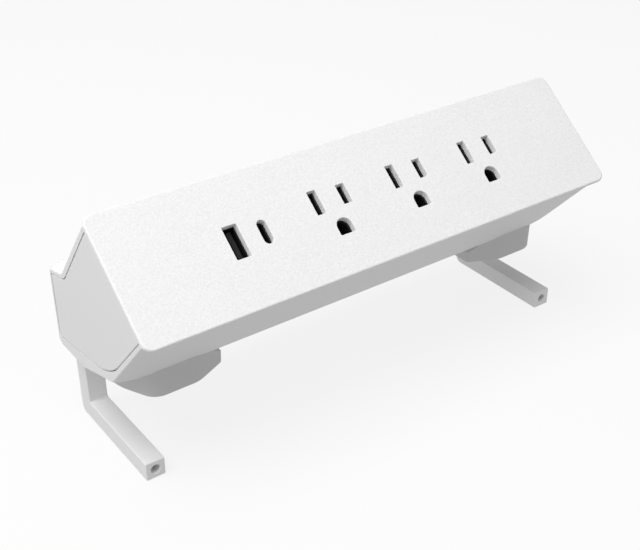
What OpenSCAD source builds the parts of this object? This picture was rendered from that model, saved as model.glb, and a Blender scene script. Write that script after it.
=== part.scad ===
// Desk power strip that grips a desk's rear edge between two feet and two L-shaped arms.
// X runs along the strip, Y from the user to the back, Z up. The origin is the centre of the
// footprint, on the surface that the arms' undersides stand on.

/* [Face plate] */
// Length of the face plate and of the whole strip
plate_l = 218.8; // [216:0.2:226]
// Width of the face plate down its slope
plate_w = 52.8; // [52:0.2:54]
// Tilt of the face plate above the horizontal, in degrees
tilt = 39; // [38:0.5:40]
// Thickness of the plate's visible flange
plate_t = 1.3; // [1:0.1:1.6]
// Depth from the plate's front to the black inserts
plate_depth = 2.8; // [2.6:0.1:3.2]
// Corner radius of the plate
plate_r = 4; // [2:0.5:5]

/* [Body] */
// Depth of the sloping back, square to the face plate
back_drop = 41.6; // [40:0.2:43]
// Slope of the rear ledge, in degrees
ledge_fall = 13; // [8:1:16]
// Distance of the rear wall behind the plate's top edge
rear_y = 38.8; // [38.6:0.1:40]
// Height of the plate's top edge above the body's floor
floor_drop = 73.5; // [73.2:0.1:73.8]
// Thickness of the housing's walls
wall = 2.4; // [2:0.1:2.6]
// Length over which each end draws in
draw_l = 22; // [18:1:24]
// Distance that each end draws in by
draw_d = 3.1; // [2.6:0.1:3.4]

/* [Clamp] */
// Gap between the foot pads and the arms, which takes the desk top
desk_gap = 22; // [18:0.5:24]
// Side of the arms' square bar
bar = 8; // [7.6:0.1:8.2]
// Distance of each arm's centre from mid-length
arm_x = 100.8; // [100.4:0.1:101]
// Length of the arms, from their front ends to their backs
arm_l = 54.5; // [50:0.5:58]
// Radius of the tapped hole in each arm's front end
end_hole_r = 1.85; // [1.6:0.05:2.1]
// Radius of the clamp screws' threads
screw_r = 1.98; // [1.9:0.01:2]

/* [Outlets] */
// Distance between neighbouring outlets
outlet_pitch = 36.9; // [36.5:0.1:38]
// Place of the middle outlet along the strip
outlet_mid = 19.5; // [18:0.5:21]
// Distance between the two blades of a plug
blade_gap = 12.7; // [12.6:0.1:12.8]

/* [Hidden] */
$fn = 48;
gap = 0.3;                              // clearance between pieces that move or are fitted
eps = 0.01;

white = [0.93, 0.93, 0.93];
shade = [0.86, 0.86, 0.86];
black = [0.09, 0.09, 0.09];
steel = [0.68, 0.69, 0.71];
brass = [0.78, 0.62, 0.32];
rubber = [0.22, 0.22, 0.22];
board_green = [0.1, 0.35, 0.2];
copper = [0.72, 0.42, 0.25];

// Heights are measured from the face plate's top edge, which lies at top_z
foot_z = -74;                           // undersides of the plastic feet
pad_z = -74.4;                          // undersides of the pads, on the desk
arm_top = pad_z - desk_gap;
arm_bottom = arm_top - bar;
top_z = -arm_bottom;
front_y = -plate_w * cos(tilt);
gland_flange = 1.5;
back_y = rear_y + gland_flange;
top_y = -(front_y + back_y) / 2;        // puts the footprint's centre on the origin
half_l = plate_l / 2;
arm_back = 33.7;                        // back of the arms' upright legs
arm_front = arm_back - bar;
arm_mid = arm_back - bar / 2;
leg_top = -53.4;                        // top of the upright legs at rest
floor_z = -floor_drop;

// ---- plane geometry -------------------------------------------------------------------------
function unit(v) = v / norm(v);
function left_of(u) = [-u.y, u.x];
function turned(v, a) = [v.x * cos(a) - v.y * sin(a), v.x * sin(a) + v.y * cos(a)];
function turn(u, w) = atan2(cross(u, w), u * w);
function meet(p, u, q, w) = p + u * (cross(q - p, w) / cross(u, w));

// Points of the arc that rounds corner p between directions u and w
function corner_arc(p, u, w, r, n) = r <= 0 ? [p] :
    let (a = turn(u, w), s = sign(a), c = p - u * r * tan(abs(a) / 2) + s * r * left_of(u))
    [for (j = [0:n]) c - s * r * turned(left_of(u), a * j / n)];

// A clockwise outline with rounded corners, with every edge moved inwards by k,
// except the last edge, which is moved by last_k
function outline(corners, radii, k, last_k, n) =
    let (m = len(corners),
         u = [for (i = [0:m - 1]) unit(corners[(i + 1) % m] - corners[i])],
         d = [for (i = [0:m - 1]) i == m - 1 ? last_k : k],
         q = [for (i = [0:m - 1]) corners[i] - left_of(u[i]) * d[i]])
    [for (i = [0:m - 1])
        let (h = (i + m - 1) % m, p = meet(q[h], u[h], q[i], u[i]), s = sign(turn(u[h], u[i])))
        each corner_arc(p, u[h], u[i], radii[i] == 0 ? 0 : max(0.3, radii[i] + s * k), n)];

// ---- outlines of the body -------------------------------------------------------------------
down_back = [sin(tilt), -cos(tilt)];    // into the body, square to the face plate
seat_top = plate_t * down_back;         // under the plate's top edge
seat_bottom = [-plate_w * cos(tilt), -plate_w * sin(tilt)] + plate_t * down_back;
ledge_in = back_drop * down_back;
ledge_out = [rear_y, ledge_in.y - (rear_y - ledge_in.x) * tan(ledge_fall)];
body_corners = [seat_top, ledge_in, ledge_out, [rear_y, floor_z], [14.5, floor_z],
    [-12.3, -65], seat_bottom];
body_radii = [0, 3, 4.6, 5.6, 30, 11, 0];
arc_n = 6;

panel_corners = [[-2.8, -4.6], [22.6, -36.4], [34.3, -39.1], [34.3, -66.9], [-9.2, -60.8],
    [-36.2, -31.5]];
panel_radii = [0, 9, 0.8, 1.2, 34, 0];
panel_gap = 0.4;                        // shadow gap round the end caps

// Each end closes in along a quarter ellipse: [distance from the end, depth drawn in] at angle a
end_angles = [90, 86, 81, 75, 68, 60, 51, 41, 30, 18, 0];
end_steps = [for (a = end_angles) [draw_l * (1 - sin(a)), draw_d * (1 - cos(a))]];
slices = concat([for (e = end_steps) [-half_l + e[0], e[1]]],
    [for (i = [len(end_steps) - 1:-1:0]) [half_l - end_steps[i][0], end_steps[i][1]]]);

module body_solid() {
    rings = [for (c = slices) [for (p = outline(body_corners, body_radii, c[1], 0, arc_n))
        [c[0], p.x, p.y]]];
    n = len(rings[0]);
    m = len(rings);
    polyhedron(
        points = [for (r = rings) each r],
        faces = concat(
            [[for (i = [n - 1:-1:0]) i], [for (i = [0:n - 1]) (m - 1) * n + i]],
            [for (j = [0:m - 2], i = [0:n - 1]) [j * n + i, j * n + (i + 1) % n, (j + 1) * n + (i + 1) % n]],
            [for (j = [0:m - 2], i = [0:n - 1]) [j * n + i, (j + 1) * n + (i + 1) % n, (j + 1) * n + i]]),
        convexity = 6);
}

// ---- frames ---------------------------------------------------------------------------------
module at_edge() { translate([0, top_y, top_z]) children(); }
module on_face() { translate([0, top_y, top_z]) rotate([tilt, 0, 0]) children(); }
module sided(s) { if (s < 0) mirror([1, 0, 0]) children(); else children(); }
// An outline in Y and Z, carried along X
module along(x0, x1, points) {
    translate([x0, 0, 0]) rotate([90, 0, 90]) linear_extrude(x1 - x0) polygon(points);
}
module block(lo, hi) { translate(lo) cube(hi - lo); }
module rounded(lo, hi, r) {
    translate([lo.x + r, lo.y + r]) circle(r);
    translate([hi.x - r, lo.y + r]) circle(r);
    translate([lo.x + r, hi.y - r]) circle(r);
    translate([hi.x - r, hi.y - r]) circle(r);
    translate([lo.x + r, lo.y]) square([hi.x - lo.x - 2 * r, hi.y - lo.y]);
    translate([lo.x, lo.y + r]) square([hi.x - lo.x, hi.y - lo.y - 2 * r]);
}
// A pan-head screw pointing down from z = 0, its head above
module screw(r, l, head_r, head_h) {
    difference() {
        cylinder(r = head_r, h = head_h);
        for (a = [0, 90]) rotate(a)
            translate([-head_r * 0.6, -0.4, head_h - 0.8]) cube([head_r * 1.2, 0.8, 1]);
    }
    translate([0, 0, -l]) cylinder(r = r, h = l + eps);
}

// ---- places shared by several pieces --------------------------------------------------------
outlet_xs = [for (i = [-1:1]) outlet_mid + i * outlet_pitch];
row_v = 22;                             // blade row, down the slope from the plate's top edge
slot_w = 3.8;
neutral_l = 9.9;
hot_l = 8.1;
ground_w = 6.7;
ground_v = 34.05;                       // centre of the ground openings' round ends
ground_end = 37.2;
usb_a_x = -60.7;
usb_a_v = 26.3;
usb_a = [6, 13.2];
usb_c_x = -48.6;
usb_c_v = 26.2;
usb_c = [3.9, 9.7];
outlet_half = 14;                       // half the width of an outlet's body
outlet_v = [12, 42];                    // upper and lower ends of an outlet's body
face_back = -9.6;                       // back of the outlet faces
body_back = -21;                        // back of the outlet bodies
bus_t = 0.8;
cover_t = 2;
post_end = -21.9;
cover_z = post_end - 0.05;
post_xs = [for (i = [0:3]) outlet_mid + (i - 1.5) * outlet_pitch];
post_vs = [14.6, 39.4];
board_x = [-82, -40];
board_v = [10, 44];
board_front = -14.6;
board_t = 1.6;
board_posts = [[-79, 13], [-79, 41], [-43, 13], [-43, 41]];
opening_x = 98;                         // half-length of the housing's opening under the plate
opening_v = [8, 45];
hook_y = (opening_v[1] - opening_v[0]) / 2 - 0.6;
hook_xs = [-91, 0, 84];
cap_x = 107.3;                          // inner side of the end caps' panels
hatch_x = 58;
hatch_y = [15.5, 34];
hatch_t = 1.3;
hatch_screws = [for (s = [-1, 1]) each [[s * 56, 24.7], [s * 28, 17.3], [s * 28, 32.2]]];
foot_corners = [[62.7, 13], [105.4, 13], [102.6, -1.5], [95.6, -15.5], [76.5, -15.5], [62.7, -9.3]];
foot_radii = [1.5, 1, 25, 8, 14, 2.6];
pad_corners = [[65.5, 7], [101, 7], [99.4, 0], [93.8, -13.2], [77, -13.2], [65.5, -7.8]];
pad_radii = [2, 2, 20, 6, 12, 2];
pad_sunk = 1.1;                         // depth of the pads' seats in the feet
foot_screw_spots = [[70, -1], [82, -1]];
boss_top = -63.5;
guide_screw_ys = [24.6, 32.6];
guide_screw_x = 90;
guide_foot_x = 86.8;
guide_x = [93.2, 106.2];
guide_y = [21.8, 35.1];
guide_z = [-69.6, -43.3];
key_top = -38.3;                        // underside of the ledge over the clamp screws
end_hole_l = 14;
terminal_x = [22, 46];
terminal_back = -36;
terminal_screw_xs = [terminal_x[0] + 4, terminal_x[1] - 4];
lead_vs = [19.5, 25.2, ground_v];
lead_z = -30.6;
gland_x = 61.5;
gland_z = -55;
bore_r = 3.9;

// ---- the housing ----------------------------------------------------------------------------
module arm_shaft(z0, z1, c) {
    block([arm_x - bar / 2 - c, arm_front - c, z0], [arm_x + bar / 2 + c, arm_back + c, z1]);
}
// The spaces inside the housing
module housing_rooms() {
    difference() {
        along(-86, 86, outline(body_corners, body_radii, wall, wall, arc_n));
        for (s = [-1, 1], p = foot_screw_spots) translate([s * p.x, p.y, -80]) cylinder(r = 3.8, h = 80 + boss_top);
        for (p = hatch_screws) translate([p.x, p.y, -80]) cylinder(r = 2.6, h = 15);
    }
    for (s = [-1, 1]) sided(s) {
        along(86 - eps, 104.6, outline(body_corners, body_radii, 4.4, wall, arc_n));
        block([guide_foot_x - gap, guide_y[0] - gap, guide_z[0]], [guide_x[1] + gap, guide_y[1] + gap, key_top]);
        along(104.6 - eps, 107.2, outline(panel_corners, panel_radii, 1.6, 1.6, arc_n));
        along(107.2 - eps, half_l + 1, outline(panel_corners, panel_radii, -panel_gap, 0, arc_n));
    }
}
module housing_shell() {
    color(white) at_edge() difference() {
        body_solid();
        housing_rooms();
        for (s = [-1, 1]) sided(s) {
            arm_shaft(-90, guide_z[0] + 1, 0.4);
            translate([arm_x, arm_mid, key_top - 1]) cylinder(r = 3.2, h = 12);
            for (p = foot_screw_spots) translate([p.x, p.y, -80]) cylinder(r = 1.4, h = 20);
            for (y = guide_screw_ys) translate([guide_screw_x, y, -80]) cylinder(r = 1.35, h = 12);
        }
        rotate([tilt, 0, 0]) block([-opening_x, -opening_v[1], -6], [opening_x, -opening_v[0], 1]);
        block([-hatch_x, hatch_y[0], -76], [hatch_x, hatch_y[1], floor_z + hatch_t + 0.05]);
        block([-hatch_x + 4, hatch_y[0] + 3.6, -76], [hatch_x - 4, hatch_y[1] - 3.6, -68]);
        for (p = hatch_screws) translate([p.x, p.y, -76]) cylinder(r = 1.1, h = 10);
        translate([gland_x, rear_y - 8, gland_z]) rotate([-90, 0, 0]) cylinder(r = 5.8, h = 12);
    }
}

module bottom_cover() {
    color(shade) at_edge() difference() {
        block([-hatch_x + gap, hatch_y[0] + gap, floor_z], [hatch_x - gap, hatch_y[1] - gap, floor_z + hatch_t]);
        for (p = hatch_screws) translate([p.x, p.y, floor_z - 1]) cylinder(r = 1.2, h = 4);
    }
}

// ---- the face plate and end caps ------------------------------------------------------------
module sided_y(s) { if (s < 0) mirror([0, 1, 0]) children(); else children(); }
module stadium(w, l) {
    square([w, l - w], center = true);
    for (s = [-1, 1]) translate([0, s * (l - w) / 2]) circle(w / 2);
}
// The three openings of one outlet, in the plate's plane
module plug_openings(blade_w, neutral, hot, ground, bottom_v) {
    translate([-blade_gap / 2, -row_v]) square([blade_w, neutral], center = true);
    translate([blade_gap / 2, -row_v]) square([blade_w, hot], center = true);
    translate([0, -ground_v]) circle(ground / 2);
    translate([-ground / 2, -bottom_v]) square([ground, bottom_v - ground_v]);
}
module plate_hook() {
    translate([-3, hook_y - 1.6, -6.3]) cube([6, 1.6, 5.2]);
    translate([-3, hook_y - eps, -6.3]) rotate([90, 0, 90]) linear_extrude(6)
        polygon([[0, 0], [1.7, 1.2], [1.7, 2.1], [0, 2.1]]);
}

module face_plate() {
    color(white) on_face() difference() {
        union() {
            translate([0, 0, -plate_t]) linear_extrude(plate_t)
                rounded([-half_l, -plate_w], [half_l, 0], plate_r);
            block([-opening_x + gap, -opening_v[1] + gap, -plate_depth],
                [opening_x - gap, -opening_v[0] - gap, -plate_t + eps]);
            for (x = post_xs, v = post_vs) translate([x, -v, post_end]) cylinder(r = 2.6, h = -post_end - 1);
            for (p = board_posts) translate([p.x, -p.y, board_front]) cylinder(r = 2.6, h = -board_front - 1);
            for (x = hook_xs, s = [-1, 1])
                translate([x, -(opening_v[0] + opening_v[1]) / 2, 0]) sided_y(s) plate_hook();
        }
        for (x = outlet_xs) translate([x, 0, -5]) linear_extrude(6)
            plug_openings(slot_w, neutral_l, hot_l, ground_w, ground_end);
        translate([usb_a_x, -usb_a_v, 0]) cube([usb_a.x, usb_a.y, 10], center = true);
        translate([usb_c_x, -usb_c_v, -5]) linear_extrude(6) stadium(usb_c.x, usb_c.y);
        for (x = post_xs, v = post_vs) translate([x, -v, post_end - 1]) cylinder(r = 1.1, h = 13);
        for (p = board_posts) translate([p.x, -p.y, board_front - 1]) cylinder(r = 1.1, h = 9);
    }
}

module end_cap(s) {
    color(shade) sided(s) {
        at_edge() along(cap_x, half_l, outline(panel_corners, panel_radii, 0, 0, arc_n));
        // hooks that spring behind the end wall's lip, below and along the sloping back
        at_edge() for (y = [1, 13]) {
            block([102, y, -59.6], [cap_x + eps, y + 5, -58]);
            block([102, y, -61], [104.2, y + 5, -59.5]);
        }
        on_face() for (z = [-20, -32]) {
            block([102, -8.8, z], [cap_x + eps, -7.1, z + 6]);
            block([102, -7.2, z], [104.2, -5.6, z + 6]);
        }
    }
}

// ---- feet and clamp -------------------------------------------------------------------------
module clamp_foot(s) {
    color(white) at_edge() sided(s) difference() {
        translate([0, 0, foot_z]) linear_extrude(14) polygon(outline(foot_corners, foot_radii, 0, 0, 8));
        body_solid();
        translate([0, 0, foot_z - 1]) linear_extrude(1 + pad_sunk) polygon(outline(pad_corners, pad_radii, -0.05, -0.05, 8));
        for (p = foot_screw_spots) translate([p.x, p.y, foot_z + pad_sunk + 0.4]) cylinder(r = 1.35, h = 12);
        // the foot's top falls away at its inner end
        translate([foot_corners[0].x - 1, -30, -70]) rotate([0, -38, 0]) cube([20, 60, 14]);
    }
}
module foot_pad(s) {
    color(rubber) at_edge() sided(s) translate([0, 0, pad_z]) linear_extrude(foot_z - pad_z + pad_sunk - 0.02)
        polygon(outline(pad_corners, pad_radii, 0, 0, 8));
}

module arm_guide(s) {
    color(shade) at_edge() sided(s) difference() {
        union() {
            block([guide_x[0], guide_y[0], guide_z[0]], [guide_x[1], guide_y[1], guide_z[1]]);
            block([guide_foot_x, guide_y[0], guide_z[0]], [guide_x[0] + eps, guide_y[1], guide_z[0] + 2.8]);
        }
        arm_shaft(guide_z[0] - 1, guide_z[1] - 1.9, 0.25);
        translate([arm_x, arm_mid, guide_z[1] - 3]) cylinder(r = screw_r + 0.07, h = 4);
        for (y = guide_screw_ys) translate([guide_screw_x, y, guide_z[0] - 1]) cylinder(r = 1.25, h = 5);
    }
}

module arm(s) {
    front = arm_back - arm_l;
    profile = [[arm_back, leg_top], [arm_back, arm_bottom], [front, arm_bottom], [front, arm_top],
        [arm_front, arm_top], [arm_front, leg_top]];
    color(white) at_edge() sided(s) difference() {
        along(arm_x - bar / 2, arm_x + bar / 2, outline(profile, [0.4, 3.2, 0.4, 0.4, 0.8, 0.4], 0, 0, 8));
        translate([arm_x, front - 1, (arm_top + arm_bottom) / 2]) rotate([-90, 0, 0])
            cylinder(r = end_hole_r, h = end_hole_l + 1);
        translate([arm_x, arm_mid, leg_top - 28.5]) cylinder(r = screw_r + 0.07, h = 30);
    }
}

module clamp_screw(s) {
    color(steel) at_edge() sided(s) translate([arm_x, arm_mid, guide_z[1] + gap]) difference() {
        union() {
            cylinder(r = 3.9, h = 4.3);
            translate([0, 0, -29]) cylinder(r = screw_r, h = 29 + eps);
        }
        translate([0, 0, 1.6]) cylinder(r = 2.3, h = 4, $fn = 6);
    }
}

// ---- outlets --------------------------------------------------------------------------------
module outlet_block(i, z0, z1) {
    x = outlet_xs[i];
    block([x - outlet_half, -outlet_v[1], z0], [x + outlet_half, -outlet_v[0], z1]);
}
module outlet_face(i) {
    color(black) on_face() difference() {
        outlet_block(i, face_back, -plate_depth - 0.05);
        translate([outlet_xs[i], 0, face_back - 1]) linear_extrude(12)
            plug_openings(2.4, 8.6, 7, 5.4, ground_end - 0.7);
        block([outlet_xs[i] - 8.1, -26.8, face_back - 1], [outlet_xs[i] + 12.6, -17.2, -5]);
    }
}
module outlet_body(i) {
    color(black) on_face() difference() {
        outlet_block(i, body_back, face_back - 0.05);
        for (s = [-1, 1]) translate([outlet_xs[i] + s * blade_gap / 2, -row_v, body_back])
            cube([4.4, 11, 40], center = true);
        translate([outlet_xs[i], -ground_v, body_back - 1]) cylinder(r = 3.6, h = 20);
    }
}
module shutter(i) {
    color([0.14, 0.14, 0.14]) on_face() translate([outlet_xs[i], 0, 0]) difference() {
        block([-7.8, -26.5, -9.3], [7.9, -17.5, -5.25]);
        block([2.2, -26.2, -10], [4.8, -17.8, -5]);
    }
}
module shutter_spring(i) {
    color(steel) on_face() translate([outlet_xs[i], -19, 0]) rotate([90, 0, 0]) linear_extrude(6)
        polygon([[7.95, -5.6], [12.5, -7.1], [12.5, -7.5], [7.95, -9], [7.95, -8.6], [11.6, -7.3], [7.95, -6]]);
}

// ---- wiring ---------------------------------------------------------------------------------
bus_z = [body_back - 0.05 - bus_t, body_back - 0.05];
tab_end = -27;
tab_xs = [64, -26];
// One bus strip, its tabs through the cover for the leads and its clips at the outlets
module bus_strip(v, w, tabs) {
    block([outlet_xs[0] - 10, -v - w / 2, bus_z[0]], [tab_xs[0] + 2, -v + w / 2, bus_z[1]]);
    for (i = [0:tabs - 1]) block([tab_xs[i] - 0.4, -v - w / 2 + 0.3, tab_end],
        [tab_xs[i] + 0.4, -v + w / 2 - 0.3, bus_z[0] + eps]);
}
module blade_clips(v, w, side) {
    for (x = outlet_xs, s = [-1, 1]) translate([x + side * blade_gap / 2 + s * 1.05, -v, 0])
        block([-0.25, -w / 2, bus_z[1] - eps], [0.25, w / 2, -11]);
}
module neutral_bus() { color(brass) on_face() { bus_strip(19.5, 3.4, 2); blade_clips(19.5, 3.4, -1); } }
module line_bus() { color(copper) on_face() { bus_strip(25.2, 3.6, 2); blade_clips(25.2, 3.6, 1); } }
module ground_bus() {
    color(brass) on_face() {
        bus_strip(ground_v, 3.6, 1);
        for (x = outlet_xs) translate([x, -ground_v, bus_z[1] - eps]) difference() {
            cylinder(r = 3, h = 9);
            translate([0, 0, -1]) cylinder(r = 2.45, h = 12);
            translate([-0.5, -4, -1]) cube([1, 8, 12]);
        }
    }
}
module bus_cover() {
    color(shade) on_face() difference() {
        block([post_xs[0] - 2.8, -outlet_v[1], cover_z - cover_t], [post_xs[3] + 2.8, -outlet_v[0], cover_z]);
        for (x = post_xs, v = post_vs) translate([x, -v, cover_z - 4]) cylinder(r = 1.2, h = 6);
        for (v = [19.5, 25.2, ground_v]) translate([tab_xs[0], -v, cover_z]) cube([1.6, 4.2, 10], center = true);
        for (v = [19.5, 25.2]) translate([tab_xs[1], -v, cover_z]) cube([1.6, 4.2, 10], center = true);
    }
}

module terminal_block() {
    color(shade) on_face() difference() {
        block([terminal_x[0], -36.4, terminal_back], [terminal_x[1], -17, cover_z - cover_t - 0.05]);
        for (v = lead_vs, x = [terminal_x[0] - 1, terminal_x[1] - 8]) translate([x, -v, lead_z])
            rotate([0, 90, 0]) cylinder(r = 1.5, h = 9);
        for (v = lead_vs, x = terminal_screw_xs) translate([x, -v, terminal_back - 1]) cylinder(r = 1.3, h = lead_z + 1.6 - terminal_back);
        for (v = lead_vs, x = terminal_screw_xs) translate([x, -v, terminal_back - 1]) cylinder(r = 2.1, h = 2.4);
    }
}
module terminal_screws() {
    color(steel) on_face() for (v = lead_vs, x = terminal_screw_xs)
        translate([x, -v, terminal_back + 1.38]) mirror([0, 0, 1]) screw(1.25, lead_z - terminal_back - 2.9, 2, 1.2);
}

// A lead of radius r along points, with round corners
module lead(points, r) {
    for (i = [0:len(points) - 2]) {
        d = points[i + 1] - points[i];
        translate(points[i]) rotate([0, acos(d.z / norm(d)), atan2(d.y, d.x)]) cylinder(r = r, h = norm(d));
    }
    for (i = [1:len(points) - 2]) translate(points[i]) sphere(r);
}
module bus_lead(v) {
    on_face() lead([[tab_xs[0], -v, tab_end - 0.05], [tab_xs[0], -v, lead_z], [terminal_x[1] - 6, -v, lead_z]], 1.2);
}
module line_lead() { color(black) bus_lead(25.2); }
module neutral_lead() { color([0.9, 0.9, 0.88]) bus_lead(19.5); }
module ground_lead() { color([0.1, 0.45, 0.2]) bus_lead(ground_v); }
module usb_leads() {
    color(black) on_face() for (v = [19.5, 25.2])
        lead([[tab_xs[1], -v, tab_end - 0.05], [tab_xs[1], -v, lead_z], [-44, -v, lead_z],
            [-44, -v, board_front - board_t - 0.1]], 1);
}

// ---- USB ------------------------------------------------------------------------------------
module usb_a_port() {
    color(black) on_face() translate([usb_a_x, -usb_a_v, 0]) {
        difference() {
            union() {
                block([-4.6, -8.2, -5], [4.6, 8.2, -plate_depth - 0.05]);
                block([-3.1, -6.9, board_front + 0.05], [3.1, 6.9, -4.9]);
            }
            block([-2.55, -6.25, -13], [2.55, 6.25, 0]);
        }
        block([-0.4, -5.6, -13.1], [1.5, 5.6, -4.2]);
    }
}
module usb_c_port() {
    color(black) on_face() translate([usb_c_x, -usb_c_v, 0]) {
        difference() {
            union() {
                block([-3.2, -6.4, -5], [3.2, 6.4, -plate_depth - 0.05]);
                translate([0, 0, board_front + 0.05]) linear_extrude(9.8) stadium(3.6, 9.5);
            }
            translate([0, 0, -12]) linear_extrude(13) stadium(2.7, 8.5);
        }
        block([-0.35, -3.3, -12.1], [0.35, 3.3, -4.5]);
    }
}
module usb_board() {
    color(board_green) on_face() difference() {
        block([board_x[0], -board_v[1], board_front - 0.05 - board_t], [board_x[1], -board_v[0], board_front - 0.05]);
        for (p = board_posts) translate([p.x, -p.y, board_front - 4]) cylinder(r = 1.2, h = 6);
    }
}
module usb_parts() {
    z = board_front - board_t - 0.1;
    on_face() {
        color([0.85, 0.75, 0.25]) block([-75, -29, z - 13], [-59, -15, z]);
        color([0.15, 0.2, 0.35]) for (v = [18, 28]) translate([-52.5, -v, z - 14]) cylinder(r = 4, h = 14);
        color(copper) translate([-66, -36, z - 7]) difference() {
            cylinder(r = 5, h = 7);
            translate([0, 0, -1]) cylinder(r = 1.8, h = 7);
        }
    }
}

// ---- cord inlet -----------------------------------------------------------------------------
module at_gland() { at_edge() translate([gland_x, rear_y, gland_z]) rotate([-90, 0, 0]) children(); }
module cord_gland() {
    color(rubber) at_gland() difference() {
        union() {
            cylinder(r = 8, h = gland_flange);
            translate([0, 0, -9]) cylinder(r = 5.7, h = 9 + eps);
        }
        translate([0, 0, -10]) cylinder(r = bore_r, h = 12);
    }
}
module gland_nut() {
    color(shade) at_gland() translate([0, 0, -wall - 3]) difference() {
        cylinder(r = 8.4, h = 2.9, $fn = 6);
        translate([0, 0, -1]) cylinder(r = 5.75, h = 5);
    }
}

// ---- fasteners ------------------------------------------------------------------------------
module bus_cover_screws() {
    color(steel) on_face() for (x = post_xs, v = post_vs)
        translate([x, -v, cover_z - cover_t]) mirror([0, 0, 1]) screw(1.05, 10, 2, 1.4);
}
module board_screws() {
    color(steel) on_face() for (p = board_posts)
        translate([p.x, -p.y, board_front - 0.1 - board_t]) mirror([0, 0, 1]) screw(1.05, 8, 2, 1.4);
}
module bottom_cover_screws() {
    color(steel) at_edge() for (p = hatch_screws)
        translate([p.x, p.y, floor_z]) mirror([0, 0, 1]) screw(1.05, 7, 1.7, 0.7);
}
module foot_screws() {
    color(steel) at_edge() for (s = [-1, 1], p = foot_screw_spots)
        translate([s * p.x, p.y, boss_top]) screw(1.3, boss_top - foot_z - pad_sunk - 0.8, 2.4, 1.6);
}
module guide_screws() {
    color(steel) at_edge() for (s = [-1, 1], y = guide_screw_ys)
        translate([s * guide_screw_x, y, floor_z]) mirror([0, 0, 1]) screw(1.2, 6, 2.2, 0.7);
}

housing_shell();
bottom_cover();
face_plate();
for (s = [-1, 1]) {
    side = s < 0 ? "left" : "right";
    end_cap(s);
    clamp_foot(s);
    foot_pad(s);
    arm_guide(s);
    arm(s);
    clamp_screw(s);
}
for (i = [0:2]) {
    outlet_face(i);
    outlet_body(i);
    shutter(i);
    shutter_spring(i);
}
line_bus();
neutral_bus();
ground_bus();
bus_cover();
usb_a_port();
usb_c_port();
usb_board();
usb_parts();
terminal_block();
terminal_screws();
cord_gland();
gland_nut();
line_lead();
neutral_lead();
ground_lead();
usb_leads();
bus_cover_screws();
board_screws();
bottom_cover_screws();
foot_screws();
guide_screws();
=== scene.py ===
import math

import bmesh
import bpy
import numpy as np
from mathutils import Matrix, Vector


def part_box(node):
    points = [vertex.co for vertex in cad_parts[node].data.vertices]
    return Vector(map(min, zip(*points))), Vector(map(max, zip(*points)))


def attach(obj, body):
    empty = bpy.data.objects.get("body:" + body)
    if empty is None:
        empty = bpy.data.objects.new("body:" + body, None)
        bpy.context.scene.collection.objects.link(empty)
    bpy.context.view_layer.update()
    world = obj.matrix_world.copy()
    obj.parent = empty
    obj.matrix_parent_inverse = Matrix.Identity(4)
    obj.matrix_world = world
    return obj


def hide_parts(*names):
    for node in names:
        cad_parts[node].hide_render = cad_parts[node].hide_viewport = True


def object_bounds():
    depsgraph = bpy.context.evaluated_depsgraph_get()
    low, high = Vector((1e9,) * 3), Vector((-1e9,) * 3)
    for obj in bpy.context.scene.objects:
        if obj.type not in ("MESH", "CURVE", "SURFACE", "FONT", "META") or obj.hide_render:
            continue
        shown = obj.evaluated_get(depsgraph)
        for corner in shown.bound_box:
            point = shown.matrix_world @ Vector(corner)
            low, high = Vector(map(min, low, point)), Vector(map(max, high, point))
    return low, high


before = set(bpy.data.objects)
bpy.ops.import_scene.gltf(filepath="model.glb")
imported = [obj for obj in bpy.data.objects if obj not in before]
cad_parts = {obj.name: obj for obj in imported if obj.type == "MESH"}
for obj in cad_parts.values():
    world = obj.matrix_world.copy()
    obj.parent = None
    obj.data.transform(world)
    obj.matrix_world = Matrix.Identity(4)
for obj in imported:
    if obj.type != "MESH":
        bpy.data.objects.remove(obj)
cadLow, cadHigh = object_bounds()
print("frame loaded with", len(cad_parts), "nodes")

# Lengths are in millimetres from the face plate's top edge: x along the strip, y to the
# back, z up. On the face plate they are x, y up its slope and z square to it.
mm = 0.001
plate = {
    "width": 52.8,          # down the slope
    "tilt": math.radians(39),
    "thick": 1.3,           # of the flange that shows
    "deep": 2.8,            # down to the black inserts
    "cornerRadius": 4.0,
    "edgeRadius": 0.8,
    "mouthRadius": 0.22,    # softened edge round each opening
}
plateLow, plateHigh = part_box("face_plate")
halfLength = plateHigh.x / mm
edgeY = plateLow.y / mm + plate["width"] * math.cos(plate["tilt"])
edgeZ = plateHigh.z / mm


def toFrame(points):
    # millimetres from the plate's top edge, made metres from the strip's foot
    return (points + np.array([0.0, edgeY, edgeZ])) * mm


def offFace(points):
    # the face plate's own x, y, z turned by its tilt about X
    c, s = math.cos(plate["tilt"]), math.sin(plate["tilt"])
    x, y, z = points[..., 0], points[..., 1], points[..., 2]
    return np.stack([x, y * c - z * s, y * s + z * c], axis=-1)


def cross2(a, b):
    # ax by - ay bx, row by row
    return a[:, 0] * b[:, 1] - a[:, 1] * b[:, 0]


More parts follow.
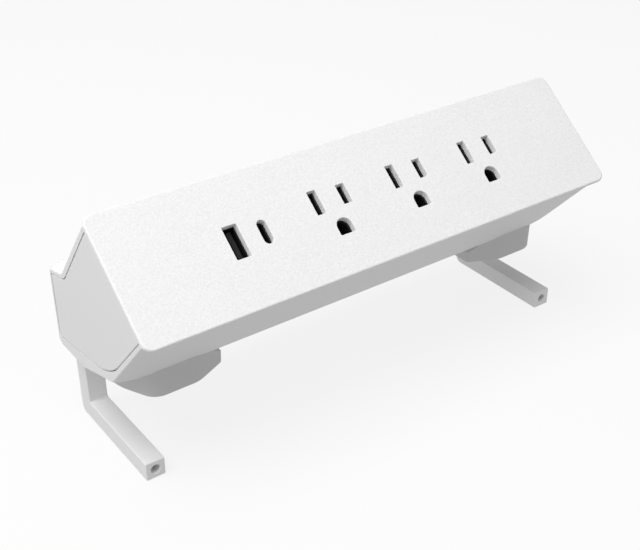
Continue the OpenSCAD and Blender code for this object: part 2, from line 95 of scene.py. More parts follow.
def roundedOutline(corners, radii, inset=0.0, lastInset=None, arcSteps=10):
    # Each edge q + u t moves inwards by inset. At corner p between directions u and w,
    # turning by a, the arc is centre - s r left(u) turned by a t, for t from 0 to 1.
    corner, radius = np.array(corners, float), np.array(radii, float)
    along = np.roll(corner, -1, axis=0) - corner
    along /= np.linalg.norm(along, axis=1, keepdims=True)
    left = np.stack([-along[:, 1], along[:, 0]], axis=1)
    shift = np.full(len(corner), float(inset))
    if lastInset is not None:
        shift[-1] = lastInset
    edge = corner - left * shift[:, None]
    before = np.roll(np.arange(len(corner)), 1)
    u = along[before]
    t = cross2(edge - edge[before], along) / cross2(u, along)
    point = edge[before] + u * t[:, None]
    angle = np.arctan2(cross2(u, along), (u * along).sum(axis=1))
    side = np.sign(angle)
    r = np.where(radius == 0, 0.0, np.maximum(0.02, radius + side * inset))
    centre = point - u * (r * np.tan(abs(angle) / 2))[:, None] + (side * r)[:, None] * left[before]
    turn = angle[:, None] * np.linspace(0, 1, arcSteps + 1)[None, :]
    lx, ly = left[before][:, 0][:, None], left[before][:, 1][:, None]
    spoke = np.stack([lx * np.cos(turn) - ly * np.sin(turn),
                      lx * np.sin(turn) + ly * np.cos(turn)], axis=-1)
    arc = centre[:, None, :] - (side * r)[:, None, None] * spoke
    # a sharp corner is one point
    keep = (radius[:, None] > 0) | (np.arange(arcSteps + 1)[None, :] == 0)
    return arc[keep]


def quarterRound(radius, steps=5):
    # (inset, rise) pairs of a quarter circle: inset r (1 - cos a), rise r sin a
    a = np.linspace(0, math.pi / 2, steps + 1)
    return radius * (1 - np.cos(a)), radius * np.sin(a)


def closedLoft(name, rings):
    # rings is (stations, points, 3): quads between neighbouring rings and a flat cap at each end
    stations, count = rings.shape[:2]
    mesh = bpy.data.meshes.new(name)
    j, i = np.meshgrid(np.arange(stations - 1), np.arange(count), indexing="ij")
    k = (i + 1) % count
    quads = np.stack([j * count + i, j * count + k, (j + 1) * count + k, (j + 1) * count + i], axis=-1)
    lastRing = (stations - 1) * count
    faces = quads.reshape(-1, 4).tolist()
    faces += [list(range(count))[::-1], list(range(lastRing, lastRing + count))]
    mesh.from_pydata(rings.reshape(-1, 3).tolist(), [], faces)
    piece = bpy.data.objects.new(name, mesh)
    bpy.context.scene.collection.objects.link(piece)
    turnOutwards(piece)
    return piece


def turnOutwards(piece):
    # doubles merged, then every face made to point out
    work = bmesh.new()
    work.from_mesh(piece.data)
    bmesh.ops.remove_doubles(work, verts=work.verts, dist=1e-7)
    bmesh.ops.recalc_face_normals(work, faces=work.faces)
    work.to_mesh(piece.data)
    work.free()


def alongX(name, stations, rings, side=1):
    # outlines in y and z, one at each x station
    x = np.broadcast_to(np.array(stations, float)[:, None], rings.shape[:2])
    return closedLoft(name, toFrame(np.stack([side * x, rings[..., 0], rings[..., 1]], axis=-1)))


def upwards(name, heights, rings, side=1, onFace=False):
    # outlines in x and y, one at each height
    z = np.broadcast_to(np.array(heights, float)[:, None], rings.shape[:2])
    points = np.stack([side * rings[..., 0], rings[..., 1], z], axis=-1)
    return closedLoft(name, toFrame(offFace(points) if onFace else points))


def bar(name, low, high, side=1, onFace=False):
    # a rectangle in x and y, carried from the low corner's height to the high corner's
    corners = [[low[0], low[1]], [low[0], high[1]], [high[0], high[1]], [high[0], low[1]]]
    outline = roundedOutline(corners, [0, 0, 0, 0])
    return upwards(name, [low[2], high[2]], np.stack([outline] * 2), side, onFace)


def rod(name, x, y, low, high, radius, side=1, onFace=False, across=None, steps=40):
    # circle x + r cos a, y + r sin a from low to high along z, or along y when across gives z
    a = np.linspace(0, 2 * math.pi, steps, endpoint=False)
    if across is None:
        outline = np.stack([x + radius * np.cos(a), y + radius * np.sin(a)], axis=1)
        return upwards(name, [low, high], np.stack([outline] * 2), side, onFace)
    radii = np.broadcast_to(radius, 2)
    points = [np.stack([side * (x + r * np.cos(a)), np.full(steps, end), across + r * np.sin(a)], axis=1)
              for r, end in zip(radii, [low, high])]
    return closedLoft(name, toFrame(np.stack(points)))


def combine(piece, others, operation):
    # adds the others to the piece, or takes them away, and keeps the result as its mesh
    tool = others[0]
    if len(others) > 1:
        with bpy.context.temp_override(active_object=tool, selected_editable_objects=others):
            bpy.ops.object.join()
    change = piece.modifiers.new("combine", "BOOLEAN")
    change.operation, change.solver, change.object = operation, "EXACT", tool
    change.use_self = True
    graph = bpy.context.evaluated_depsgraph_get()
    result = bpy.data.meshes.new_from_object(piece.evaluated_get(graph))
    piece.modifiers.clear()
    piece.data = result
    bpy.data.objects.remove(tool)
    return piece


def finishPiece(piece, material, node, body, sharpAngle=32):
    piece.data.materials.clear()
    piece.data.materials.append(material)
    piece.data.shade_smooth()
    piece.data.set_sharp_from_angle(angle=math.radians(sharpAngle))
    even = piece.modifiers.new("evenShading", "WEIGHTED_NORMAL")    # flat faces stay flat beside rounded edges
    even.keep_sharp, even.weight = True, 100
    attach(piece, body)
    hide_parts(node)
    return piece


def setLocations(nodes):
    for place, node in enumerate(n for n in nodes if n.type != "FRAME"):
        node.location = (240 * (place % 5), -320 * (place // 5))


def coatedSurface(name, colour, spread, grain, height, roughness, specular):
    # white coats and moulded plastics: a fine raised grain, faint mottling, uneven sheen
    made = bpy.data.materials.new(name)
    made.use_nodes = True
    nodes, links = made.node_tree.nodes, made.node_tree.links
    nodes.clear()
    place = nodes.new("ShaderNodeTexCoord")
    place.label = "place on the piece"
    grainFrame = nodes.new("NodeFrame")
    grainFrame.label = "raised grain"
    fine = nodes.new("ShaderNodeTexNoise")
    fine.label = "fine grain"
    fine.parent = grainFrame
    fine.inputs["Scale"].default_value = 1 / grain
    fine.inputs["Detail"].default_value = 2.5
    fine.inputs["Roughness"].default_value = 0.6
    pebble = nodes.new("ShaderNodeTexVoronoi")
    pebble.label = "rounded pebbles of the texture"
    pebble.parent = grainFrame
    pebble.inputs["Scale"].default_value = 0.6 / grain
    both = nodes.new("ShaderNodeMath")
    both.label = "grain on pebbles"
    both.parent = grainFrame
    both.operation = "MULTIPLY_ADD"
    both.inputs[1].default_value = 0.45
    relief = nodes.new("ShaderNodeBump")
    relief.label = "relief of the grain"
    relief.parent = grainFrame
    relief.inputs["Distance"].default_value = height
    relief.inputs["Strength"].default_value = 0.8
    toneFrame = nodes.new("NodeFrame")
    toneFrame.label = "mottled tone"
    cloud = nodes.new("ShaderNodeTexNoise")
    cloud.label = "broad unevenness"
    cloud.parent = toneFrame
    cloud.inputs["Scale"].default_value = 60
    cloud.inputs["Detail"].default_value = 4
    speck = nodes.new("ShaderNodeMath")
    speck.label = "specks tinted by the unevenness"
    speck.parent = toneFrame
    speck.operation = "MULTIPLY_ADD"
    speck.inputs[1].default_value = 0.12
    tone = nodes.new("ShaderNodeValToRGB")
    tone.label = "deep and high tone"
    tone.parent = toneFrame
    tone.color_ramp.elements[0].position = 0.36
    tone.color_ramp.elements[1].position = 0.72
    tone.color_ramp.elements[0].color = (*[c * (1 - spread) for c in colour], 1)
    tone.color_ramp.elements[1].color = (*[min(1.0, c * (1 + spread * 0.5)) for c in colour], 1)
    sheenFrame = nodes.new("NodeFrame")
    sheenFrame.label = "uneven sheen"
    rough = nodes.new("ShaderNodeMapRange")
    rough.label = "rougher in the hollows"
    rough.parent = sheenFrame
    rough.inputs["To Min"].default_value = roughness - 0.06
    rough.inputs["To Max"].default_value = roughness + 0.06
    surface = nodes.new("ShaderNodeBsdfPrincipled")
    surface.label = "surface"
    surface.inputs["Specular IOR Level"].default_value = specular
    output = nodes.new("ShaderNodeOutputMaterial")
    output.label = "finish"
    links.new(place.outputs["Object"], fine.inputs["Vector"])
    links.new(place.outputs["Object"], pebble.inputs["Vector"])
    links.new(place.outputs["Object"], cloud.inputs["Vector"])
    links.new(pebble.outputs["Distance"], both.inputs[0])
    links.new(fine.outputs["Fac"], both.inputs[2])
    links.new(both.outputs["Value"], relief.inputs["Height"])
    links.new(cloud.outputs["Fac"], speck.inputs[0])
    links.new(fine.outputs["Fac"], speck.inputs[2])
    links.new(speck.outputs["Value"], tone.inputs["Fac"])
    links.new(cloud.outputs["Fac"], rough.inputs["Value"])
    links.new(tone.outputs["Color"], surface.inputs["Base Color"])
    links.new(rough.outputs["Result"], surface.inputs["Roughness"])
    links.new(relief.outputs["Normal"], surface.inputs["Normal"])
    links.new(surface.outputs["BSDF"], output.inputs["Surface"])
    setLocations(nodes)
    return made


def brushedMetal(name, colour, streak, roughness):
    # plated or rolled metal: fine streaks along X and dull patches
    made = bpy.data.materials.new(name)
    made.use_nodes = True
    nodes, links = made.node_tree.nodes, made.node_tree.links
    nodes.clear()
    place = nodes.new("ShaderNodeTexCoord")
    place.label = "place on the piece"
    streakFrame = nodes.new("NodeFrame")
    streakFrame.label = "drawn streaks"
    stretch = nodes.new("ShaderNodeMapping")
    stretch.label = "streaks run lengthwise"
    stretch.parent = streakFrame
    stretch.inputs["Scale"].default_value = (0.08, 1, 1)
    streaks = nodes.new("ShaderNodeTexNoise")
    streaks.label = "fine streaks"
    streaks.parent = streakFrame
    streaks.inputs["Scale"].default_value = 1 / streak
    streaks.inputs["Detail"].default_value = 5
    relief = nodes.new("ShaderNodeBump")
    relief.label = "shallow relief"
    relief.parent = streakFrame
    relief.inputs["Distance"].default_value = 0.00002
    toneFrame = nodes.new("NodeFrame")
    toneFrame.label = "dull patches"
    patches = nodes.new("ShaderNodeTexNoise")
    patches.label = "dull patches"
    patches.parent = toneFrame
    patches.inputs["Scale"].default_value = 220
    tone = nodes.new("ShaderNodeValToRGB")
    tone.label = "dull and bright metal"
    tone.parent = toneFrame
    tone.color_ramp.elements[0].color = (*[c * 0.8 for c in colour], 1)
    tone.color_ramp.elements[1].color = (*colour, 1)
    rough = nodes.new("ShaderNodeMapRange")
    rough.label = "duller in patches"
    rough.parent = toneFrame
    rough.inputs["To Min"].default_value = roughness - 0.08
    rough.inputs["To Max"].default_value = roughness + 0.12
    surface = nodes.new("ShaderNodeBsdfPrincipled")
    surface.label = "metal"
    surface.inputs["Metallic"].default_value = 1.0
    output = nodes.new("ShaderNodeOutputMaterial")
    output.label = "finish"
    links.new(place.outputs["Object"], stretch.inputs["Vector"])
    links.new(stretch.outputs["Vector"], streaks.inputs["Vector"])
    links.new(place.outputs["Object"], patches.inputs["Vector"])
    links.new(streaks.outputs["Fac"], relief.inputs["Height"])
    links.new(patches.outputs["Fac"], tone.inputs["Fac"])
    links.new(patches.outputs["Fac"], rough.inputs["Value"])
    links.new(tone.outputs["Color"], surface.inputs["Base Color"])
    links.new(rough.outputs["Result"], surface.inputs["Roughness"])
    links.new(relief.outputs["Normal"], surface.inputs["Normal"])
    links.new(surface.outputs["BSDF"], output.inputs["Surface"])
    setLocations(nodes)
    return made


faceCoat = coatedSurface("faceCoat", (0.93, 0.93, 0.93), 0.07, 0.0008, 0.00011, 0.6, 0.3)
bodyPlastic = coatedSurface("bodyPlastic", (0.9, 0.9, 0.9), 0.02, 0.0003, 0.00002, 0.58, 0.3)
capPlastic = coatedSurface("capPlastic", (0.88, 0.88, 0.88), 0.02, 0.00026, 0.00002, 0.55, 0.3)
# the feet are the body's white plastic; this darker copy paints in the shade they sit in under the body's
# overhang
shadedFootPlastic = coatedSurface("shadedFootPlastic", (0.68, 0.68, 0.68), 0.02, 0.0003, 0.00002, 0.6, 0.3)
armCoat = coatedSurface("armCoat", (0.9, 0.9, 0.9), 0.03, 0.0005, 0.00004, 0.5, 0.4)
padRubber = coatedSurface("padRubber", (0.035, 0.035, 0.035), 0.2, 0.0005, 0.00006, 0.85, 0.2)
blackPlastic = coatedSurface("blackPlastic", (0.011, 0.011, 0.011), 0.2, 0.0003, 0.00002, 0.5, 0.35)
boardGreen = coatedSurface("boardGreen", (0.03, 0.16, 0.07), 0.25, 0.0012, 0.00003, 0.35, 0.5)
boardParts = coatedSurface("boardParts", (0.25, 0.21, 0.1), 0.3, 0.002, 0.00002, 0.45, 0.4)
blackSleeve = coatedSurface("blackSleeve", (0.02, 0.02, 0.02), 0.15, 0.0006, 0.00002, 0.5, 0.4)
whiteSleeve = coatedSurface("whiteSleeve", (0.85, 0.85, 0.82), 0.05, 0.0006, 0.00002, 0.5, 0.4)
greenSleeve = coatedSurface("greenSleeve", (0.03, 0.25, 0.08), 0.1, 0.0006, 0.00002, 0.5, 0.4)
zincSteel = brushedMetal("zincSteel", (0.62, 0.63, 0.65), 0.0004, 0.35)
contactBrass = brushedMetal("contactBrass", (0.78, 0.58, 0.26), 0.0005, 0.3)
print("materials made")


housing = {
    "backDrop": 41.6, "ledgeFall": math.radians(13), "rearY": 38.8, "floorZ": -73.5, "wall": 2.4,
    "drawLength": 22.0, "drawDepth": 3.1, "panelGap": 0.4, "capX": 107.3,
    "openingX": 98.0, "openingV": (8.0, 45.0),
    "roomX": 86.0, "endRoomX": 104.6, "throatX": 107.2, "endWall": 4.4, "throatWall": 1.6,
    "bossRadius": 3.8, "hatchBossRadius": 2.6, "glandHoleRadius": 5.8, "overlap": 0.01,
    "hatchX": 58.0, "hatchY": (15.5, 34.0), "hatchThick": 1.3,
    "glandX": 61.5, "glandZ": -55.0,
}
clamp = {
    "armX": 100.8, "bar": 8.0, "armBack": 33.7, "armLength": 54.5, "legTop": -53.4, "guideFootX": 86.8,
    "guideX": (93.2, 106.2), "guideY": (21.8, 35.1), "guideZ": (-69.6, -43.3), "keyTop": -38.3,
    "profileRadii": [0.6, 3.2, 0.6, 0.6, 0.8, 0.6],
    "edgeRadius": 0.45, "holeRadius": 1.85, "holeLength": 14.0, "screwRadius": 1.98,
}
clamp["armMid"] = clamp["armBack"] - clamp["bar"] / 2
clamp["armFront"] = clamp["armBack"] - clamp["bar"]
foot = {
    "bottom": -74.0, "height": 14.0, "bossTop": -63.5, "screwSpots": ((70, -1), (82, -1)), "padSunk": 1.1,
    "corners": [[62.7, 13], [105.4, 13], [102.6, -1.5], [95.6, -15.5], [76.5, -15.5], [62.7, -9.3]],
    "radii": [1.5, 1, 25, 8, 14, 2.6],
    "padCorners": [[65.5, 7], [101, 7], [99.4, 0], [93.8, -13.2], [77, -13.2], [65.5, -7.8]],
    "padRadii": [2, 2, 20, 6, 12, 2],
    "edgeRadius": 0.7, "draft": 0.35,
}
slope = np.array([math.sin(plate["tilt"]), -math.cos(plate["tilt"])])      # square into the face plate
seatTop = plate["thick"] * slope
seatBottom = np.array([-math.cos(plate["tilt"]), -math.sin(plate["tilt"])]) * plate["width"] + seatTop
ledgeIn = housing["backDrop"] * slope
ledgeOut = [housing["rearY"], ledgeIn[1] - (housing["rearY"] - ledgeIn[0]) * math.tan(housing["ledgeFall"])]
bodyCorners = [seatTop, ledgeIn, ledgeOut, [housing["rearY"], housing["floorZ"]],
               [14.5, housing["floorZ"]], [-12.3, -65], seatBottom]
bodyRadii = [0, 3, 4.6, 5.6, 30, 11, 0]
panelCorners = [[-2.8, -4.6], [22.6, -36.4], [34.3, -39.1], [34.3, -66.9], [-9.2, -60.8], [-36.2, -31.5]]
panelRadii = [0, 9, 0.8, 1.2, 34, 0]
guideScrewX, guideScrewYs = 90.0, (24.6, 32.6)
hatchScrews = [(s * x, y) for s in (-1, 1) for x, y in ((56, 24.7), (28, 17.3), (28, 32.2))]


def bodyLoft(name, endSteps=30):
    # both ends close in along a quarter ellipse: distance L (1 - sin a) and depth D (1 - cos a)
    a = np.linspace(math.pi / 2, 0, endSteps)
    distance, depth = housing["drawLength"] * (1 - np.sin(a)), housing["drawDepth"] * (1 - np.cos(a))
    stations = np.concatenate([distance - halfLength, (halfLength - distance)[::-1]])
    rings = np.stack([roundedOutline(bodyCorners, bodyRadii, k, 0.0, 14)
                      for k in [*depth, *depth[::-1]]])
    return alongX(name, stations, rings)


def runAlongX(name, x0, x1, corners, radii, inset, lastInset, side=1):
    outline = roundedOutline(corners, radii, inset, lastInset)
    return alongX(name, [x0, x1], np.stack([outline] * 2), side)


def armShaft(low, high, gap, side):
    return bar("shaft", (clamp["armX"] - clamp["bar"] / 2 - gap, clamp["armFront"] - gap, low),
               (clamp["armX"] + clamp["bar"] / 2 + gap, clamp["armBack"] + gap, high), side)


def makeHousing():
    shell = bodyLoft("housing")
    wall, roomX, overlap = housing["wall"], housing["roomX"], housing["overlap"]
    room = runAlongX("room", -roomX, roomX, bodyCorners, bodyRadii, wall, wall)
    bosses = [rod("boss", x, y, -80, foot["bossTop"], housing["bossRadius"], side)
              for side in (-1, 1) for x, y in foot["screwSpots"]]
    bosses += [rod("boss", x, y, -80, -65, housing["hatchBossRadius"]) for x, y in hatchScrews]
    combine(room, bosses, "DIFFERENCE")
    hollows = [room]
    gap = 0.3
    for side in (-1, 1):
        hollows += [
            runAlongX("endRoom", roomX - overlap, housing["endRoomX"], bodyCorners, bodyRadii,
                      housing["endWall"], wall, side),
            bar("guideRoom", (clamp["guideFootX"] - gap, clamp["guideY"][0] - gap, clamp["guideZ"][0]),
                (clamp["guideX"][1] + gap, clamp["guideY"][1] + gap, clamp["keyTop"]), side),
            runAlongX("throat", housing["endRoomX"] - overlap, housing["throatX"], panelCorners, panelRadii,
                      housing["throatWall"], housing["throatWall"], side),
            runAlongX("panelSeat", housing["throatX"] - overlap, halfLength + 1, panelCorners, panelRadii,
                      -housing["panelGap"], 0.0, side),
            armShaft(-90, clamp["guideZ"][0] + 1, 0.4, side),
            rod("key", clamp["armX"], clamp["armMid"], clamp["keyTop"] - 1, clamp["keyTop"] + 11, 3.2, side),
        ]
        hollows += [rod("footHole", x, y, -80, -60, 1.4, side) for x, y in foot["screwSpots"]]
        hollows += [rod("guideHole", guideScrewX, y, -80, -68, 1.35, side) for y in guideScrewYs]
    openX, (openTop, openEnd) = housing["openingX"], housing["openingV"]
    hatchX, (hatchFront, hatchBack) = housing["hatchX"], housing["hatchY"]
    hatchTop = housing["floorZ"] + housing["hatchThick"] + 0.05
    hollows += [
        bar("plateOpening", (-openX, -openEnd, -6), (openX, -openTop, 1), onFace=True),
        bar("hatchSeat", (-hatchX, hatchFront, -76), (hatchX, hatchBack, hatchTop)),
        bar("hatchWay", (4 - hatchX, hatchFront + 3.6, -76), (hatchX - 4, hatchBack - 3.6, -68)),
        rod("glandHole", housing["glandX"], 0, housing["rearY"] - 8, housing["rearY"] + 4,
            housing["glandHoleRadius"], across=housing["glandZ"]),
    ]
    hollows += [rod("hatchHole", x, y, -76, -66, 1.1) for x, y in hatchScrews]
    combine(shell, hollows, "DIFFERENCE")
    return finishPiece(shell, bodyPlastic, "housing_shell", "housing")


outlets = {"pitch": 36.9, "middle": 19.5, "bladeGap": 12.7, "rowV": 22.0, "slotWidth": 3.8, "neutral": 9.9,
           "hot": 8.1, "groundWidth": 6.7, "groundV": 34.05, "groundEnd": 37.2}
outletXs = [outlets["middle"] + k * outlets["pitch"] for k in (-1, 0, 1)]
usbPorts = {"a": {"x": -60.7, "v": 26.3, "size": (6.0, 13.2), "radius": 0.35},
            "c": {"x": -48.6, "v": 26.2, "size": (3.9, 9.7), "radius": 1.94}}
boardPosts = [(x, v) for x in (-79, -43) for v in (13, 41)]
coverPosts = [(outlets["middle"] + (k - 1.5) * outlets["pitch"], v) for k in range(4) for v in (14.6, 39.4)]


def mouth(x, v, width, length, radii):
    # a straight well whose top flares by a quarter round into the plate's surface
    corners = [[x - width / 2, -v - length / 2], [x - width / 2, -v + length / 2],
               [x + width / 2, -v + length / 2], [x + width / 2, -v - length / 2]]
    flare, rise = quarterRound(plate["mouthRadius"], 4)
    insets = np.concatenate([[0.0], -flare, [-plate["mouthRadius"]]])
    heights = np.concatenate([[-5.0], rise - plate["mouthRadius"], [1.0]])
    rings = np.stack([roundedOutline(corners, radii, k) for k in insets])
    return upwards("mouth", heights, rings, onFace=True)


def makeFacePlate():
    half, width = halfLength, plate["width"]
    corners = [[-half, -width], [-half, 0], [half, 0], [half, -width]]
    radii = [plate["cornerRadius"]] * 4
    inset, rise = quarterRound(plate["edgeRadius"], 6)
    insets = np.concatenate([[0.0], inset])
    heights = np.concatenate([[-plate["thick"]], rise - plate["edgeRadius"]])
    rings = np.stack([roundedOutline(corners, radii, k, arcSteps=14) for k in insets])
    slab = upwards("facePlate", heights, rings, onFace=True)
    openX, (openTop, openEnd) = housing["openingX"], housing["openingV"]
    backs = [bar("tray", (0.3 - openX, 0.3 - openEnd, -plate["deep"]),
                 (openX - 0.3, -0.3 - openTop, -0.6), onFace=True)]
    backs += [rod("post", x, -v, -21.9, -1.0, 2.6, onFace=True) for x, v in coverPosts]
    backs += [rod("post", x, -v, -14.6, -1.0, 2.6, onFace=True) for x, v in boardPosts]
    combine(slab, backs, "UNION")
    wells = []
    for x in outletXs:
        groundTop = outlets["groundV"] - outlets["groundWidth"] / 2
        groundLength = outlets["groundEnd"] - groundTop
        halfRound = outlets["groundWidth"] / 2 - 0.01
        wells += [
            mouth(x - outlets["bladeGap"] / 2, outlets["rowV"], outlets["slotWidth"],
                  outlets["neutral"], [0.25] * 4),
            mouth(x + outlets["bladeGap"] / 2, outlets["rowV"], outlets["slotWidth"],
                  outlets["hot"], [0.25] * 4),
            mouth(x, groundTop + groundLength / 2, outlets["groundWidth"], groundLength,
                  [0.4, halfRound, halfRound, 0.4]),
        ]
    for port in usbPorts.values():
        wells.append(mouth(port["x"], port["v"], *port["size"], [port["radius"]] * 4))
    wells += [rod("pilot", x, -v, -22.9, -9.9, 1.1, onFace=True) for x, v in coverPosts]
    wells += [rod("pilot", x, -v, -15.6, -6.6, 1.1, onFace=True) for x, v in boardPosts]
    combine(slab, wells, "DIFFERENCE")
    return finishPiece(slab, faceCoat, "face_plate", "housing")


def makeEndCap(side, word):
    inset, rise = quarterRound(0.35, 5)
    stations = np.concatenate([[housing["capX"]], halfLength - 0.35 + rise])
    rings = np.stack([roundedOutline(panelCorners, panelRadii, k)
                      for k in np.concatenate([[0.0], inset])])
    cap = alongX("endCap" + word, stations, rings, side)
    hooks = []
    for y in (1, 13):
        hooks += [bar("hook", (102, y, -59.6), (107.5, y + 5, -58), side),
                  bar("hook", (102, y, -61), (104.2, y + 5, -59.5), side)]
    for z in (-20, -32):
        hooks += [bar("hook", (102, -8.8, z), (107.5, -7.1, z + 6), side, True),
                  bar("hook", (102, -7.2, z), (104.2, -5.6, z + 6), side, True)]
    combine(cap, hooks, "UNION")
    return finishPiece(cap, capPlastic, "end_cap_" + word.lower(), "housing")


def makeFoot(side, word):
    # walls lean in by the draft towards the desk and end in a quarter round
    inset, rise = quarterRound(foot["edgeRadius"], 6)
    lean = np.linspace(foot["draft"], 0, 6)[1:]
    heights = np.concatenate([foot["edgeRadius"] - rise[::-1],
                              np.linspace(foot["edgeRadius"], foot["height"], 6)[1:]])
    insets = np.concatenate([inset[::-1] + foot["draft"], lean])
    rings = np.stack([roundedOutline(foot["corners"], foot["radii"], k, arcSteps=16) for k in insets])
    block = upwards("clampFoot" + word, heights + foot["bottom"], rings, side)
    padOutline = roundedOutline(foot["padCorners"], foot["padRadii"], -0.05)
    seatTopZ = foot["bottom"] + foot["padSunk"]
    away = [upwards("padSeat", [foot["bottom"] - 1, seatTopZ], np.stack([padOutline] * 2), side)]
    away += [rod("hole", x, y, seatTopZ - 0.5, -60, 1.35, side) for x, y in foot["screwSpots"]]
    wedgeX, wedgeZ, lift = foot["corners"][0][0] - 1, -70.0, math.radians(38)
    inner = [[0, 0], [0, 14], [20, 14], [20, 0]]
    wedge = np.array([[wedgeX + x * math.cos(lift) - z * math.sin(lift),
                       wedgeZ + x * math.sin(lift) + z * math.cos(lift)] for x, z in inner])
    faces = np.stack([np.stack([side * wedge[:, 0], np.full(4, y), wedge[:, 1]], axis=1)
                      for y in (-30.0, 30.0)])
    away.append(closedLoft("wedge", toFrame(faces)))
    combine(block, away, "DIFFERENCE")
    combine(block, [bodyLoft("bodyCopy")], "DIFFERENCE")
    return finishPiece(block, shadedFootPlastic, "clamp_foot_" + word.lower(), "housing")


def makeArm(side, word):
    bottom, top = -edgeZ, -edgeZ + clamp["bar"]
    front, back, legFront = clamp["armBack"] - clamp["armLength"], clamp["armBack"], clamp["armFront"]
    profile = [[back, clamp["legTop"]], [back, bottom], [front, bottom], [front, top], [legFront, top],
               [legFront, clamp["legTop"]]]
    inset, rise = quarterRound(clamp["edgeRadius"], 5)
    half = clamp["bar"] / 2
    stations = clamp["armX"] + np.concatenate([(clamp["edgeRadius"] - rise[::-1]) - half,
                                               half - clamp["edgeRadius"] + rise])
    rings = np.stack([roundedOutline(profile, clamp["profileRadii"], k)
                      for k in np.concatenate([inset[::-1], inset])])
    arm = alongX("clampArm" + word, stations, rings, side)
    middle, hole = (bottom + top) / 2, clamp["holeRadius"]
    away = [
        rod("hole", clamp["armX"], 0, front - 0.5, front + clamp["holeLength"], hole, side, across=middle),
        rod("mouth", clamp["armX"], 0, front - 0.1, front + 0.35, (hole + 0.45, hole), side, across=middle),
        rod("thread", clamp["armX"], clamp["armMid"], clamp["legTop"] - 28.5, clamp["legTop"] + 2,
            clamp["screwRadius"] + 0.07, side),
    ]
    combine(arm, away, "DIFFERENCE")
    return finishPiece(arm, armCoat, "arm_" + word.lower(), "clamp_arm_" + word.lower())


makeHousing()
makeFacePlate()
print("housing and face plate made")
for side, word in ((-1, "Left"), (1, "Right")):
    makeEndCap(side, word)
    makeFoot(side, word)
    makeArm(side, word)
print("end caps, feet and arms made")


finishes = {
    "bottom_cover": bodyPlastic, "arm_guide": bodyPlastic, "gland_nut": bodyPlastic, "bus_cover": bodyPlastic,
    "foot_pad": padRubber, "cord_gland": blackPlastic, "outlet": blackPlastic, "usb_a": blackPlastic,
    "usb_c": blackPlastic, "terminal_block": blackPlastic, "usb_board": boardGreen, "usb_parts": boardParts,
    "line_bus": contactBrass, "neutral_bus": contactBrass, "ground_bus": contactBrass,
    "shutter_spring": zincSteel, "shutter": blackPlastic, "clamp_screw": zincSteel,
    "terminal_screws": zincSteel, "bus_cover_screws": zincSteel, "board_screws": zincSteel,
    "bottom_cover_screws": zincSteel, "foot_screws": zincSteel, "guide_screws": zincSteel,
    "line_lead": blackSleeve, "usb_leads": blackSleeve, "neutral_lead": whiteSleeve,
    "ground_lead": greenSleeve,
}
for name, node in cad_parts.items():
    best = max((key for key in finishes if name.startswith(key)), key=len, default=None)
    if best:
        node.data.materials.clear()
        node.data.materials.append(finishes[best])
print("finishes set")


studio = {"floorTone": 0.15, "floorGlow": 0.82, "worldStrength": 0.42, "overheadPower": 12.6, "leftPower": 1.4}

floorMaterial = bpy.data.materials.new("paleFloor")
floorMaterial.use_nodes = True
floorNodes, floorLinks = floorMaterial.node_tree.nodes, floorMaterial.node_tree.links
floorNodes.clear()
floorPlace = floorNodes.new("ShaderNodeTexCoord")
floorPlace.label = "place on the floor"
floorFrame = floorNodes.new("NodeFrame")
floorFrame.label = "pale tone"
floorCloud = floorNodes.new("ShaderNodeTexNoise")
floorCloud.label = "faint unevenness"
floorCloud.parent = floorFrame
floorCloud.inputs["Scale"].default_value = 3
floorTone = floorNodes.new("ShaderNodeValToRGB")
floorTone.label = "pale tones"
floorTone.parent = floorFrame
floorTone.color_ramp.elements[0].color = (*[studio["floorTone"] * 0.995] * 3, 1)
floorTone.color_ramp.elements[1].color = (*[studio["floorTone"]] * 3, 1)
floorSurface = floorNodes.new("ShaderNodeBsdfPrincipled")
floorSurface.label = "matte floor"
floorSurface.inputs["Roughness"].default_value = 0.95
floorSurface.inputs["Specular IOR Level"].default_value = 0.0
floorSurface.inputs["Emission Color"].default_value = (1, 1, 1, 1)
floorSurface.inputs["Emission Strength"].default_value = studio["floorGlow"]      # a sweep lit from behind
floorOutput = floorNodes.new("ShaderNodeOutputMaterial")
floorOutput.label = "finish"
floorLinks.new(floorPlace.outputs["Object"], floorCloud.inputs["Vector"])
floorLinks.new(floorCloud.outputs["Fac"], floorTone.inputs["Fac"])
floorLinks.new(floorTone.outputs["Color"], floorSurface.inputs["Base Color"])
floorLinks.new(floorSurface.outputs["BSDF"], floorOutput.inputs["Surface"])
setLocations(floorNodes)

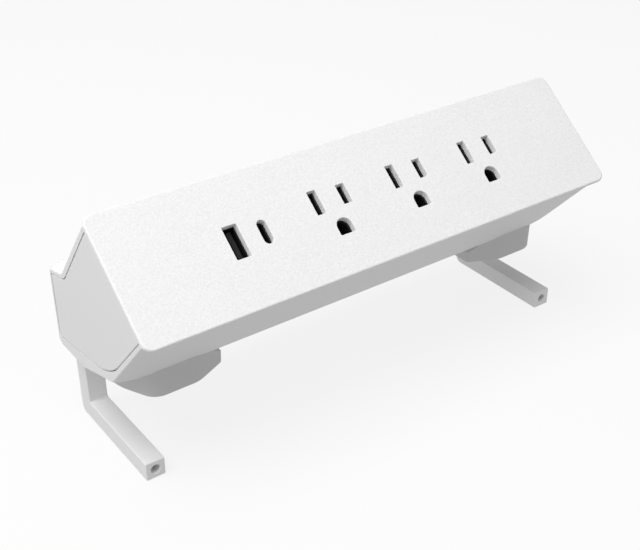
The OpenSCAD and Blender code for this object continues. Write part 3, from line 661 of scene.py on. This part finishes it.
reach = 4.0
floorMesh = bpy.data.meshes.new("floor")
floorCorners = [(-reach, -reach, 0), (reach, -reach, 0), (reach, reach, 0), (-reach, reach, 0)]
floorMesh.from_pydata(floorCorners, [], [(0, 1, 2, 3)])
floorMesh.materials.append(floorMaterial)
floor = bpy.data.objects.new("floor", floorMesh)
bpy.context.scene.collection.objects.link(floor)
floor.location.z = cadLow.z - 0.0002
floor.visible_diffuse = False       # the sweep's glow stays off the object

world = bpy.data.worlds.new("studio")
world.use_nodes = True
world.node_tree.nodes["Background"].inputs["Color"].default_value = (1, 1, 1, 1)
world.node_tree.nodes["Background"].inputs["Strength"].default_value = studio["worldStrength"]
bpy.context.scene.world = world
bpy.context.scene.view_settings.view_transform = "Standard"


def softbox(name, place, aim, size, power):
    light = bpy.data.lights.new(name, "AREA")
    light.shape, light.size, light.energy = "SQUARE", size, power
    lamp = bpy.data.objects.new(name, light)
    bpy.context.scene.collection.objects.link(lamp)
    lamp.location = place
    lamp.rotation_euler = (Vector(aim) - Vector(place)).to_track_quat("-Z", "Y").to_euler()


softbox("overhead", (-0.5, -0.1, 1.2), (0, 0, 0), 1.0, studio["overheadPower"])
softbox("left", (-1.3, 0.15, 0.5), (0, 0, 0.05), 0.9, studio["leftPower"])

view = {"place": (-0.237751, -0.317959, 0.282680), "azimuth": 35.57, "drop": 31.16, "roll": 0.367,
        "lens": 63.27}
cameraData = bpy.data.cameras.new("camera")
cameraData.lens, cameraData.sensor_width = view["lens"], 36
cameraData.sensor_fit = "HORIZONTAL"
cameraData.clip_start = 0.01
camera = bpy.data.objects.new("camera", cameraData)
bpy.context.scene.collection.objects.link(camera)
camera.location = view["place"]
camera.rotation_mode = "QUATERNION"
turnMatrix = (Matrix.Rotation(math.radians(-view["azimuth"]), 4, "Z")
              @ Matrix.Rotation(math.radians(90 - view["drop"]), 4, "X")
              @ Matrix.Rotation(math.radians(-view["roll"]), 4, "Z"))
camera.rotation_quaternion = turnMatrix.to_quaternion()
bpy.context.scene.camera = camera
print("studio ready")
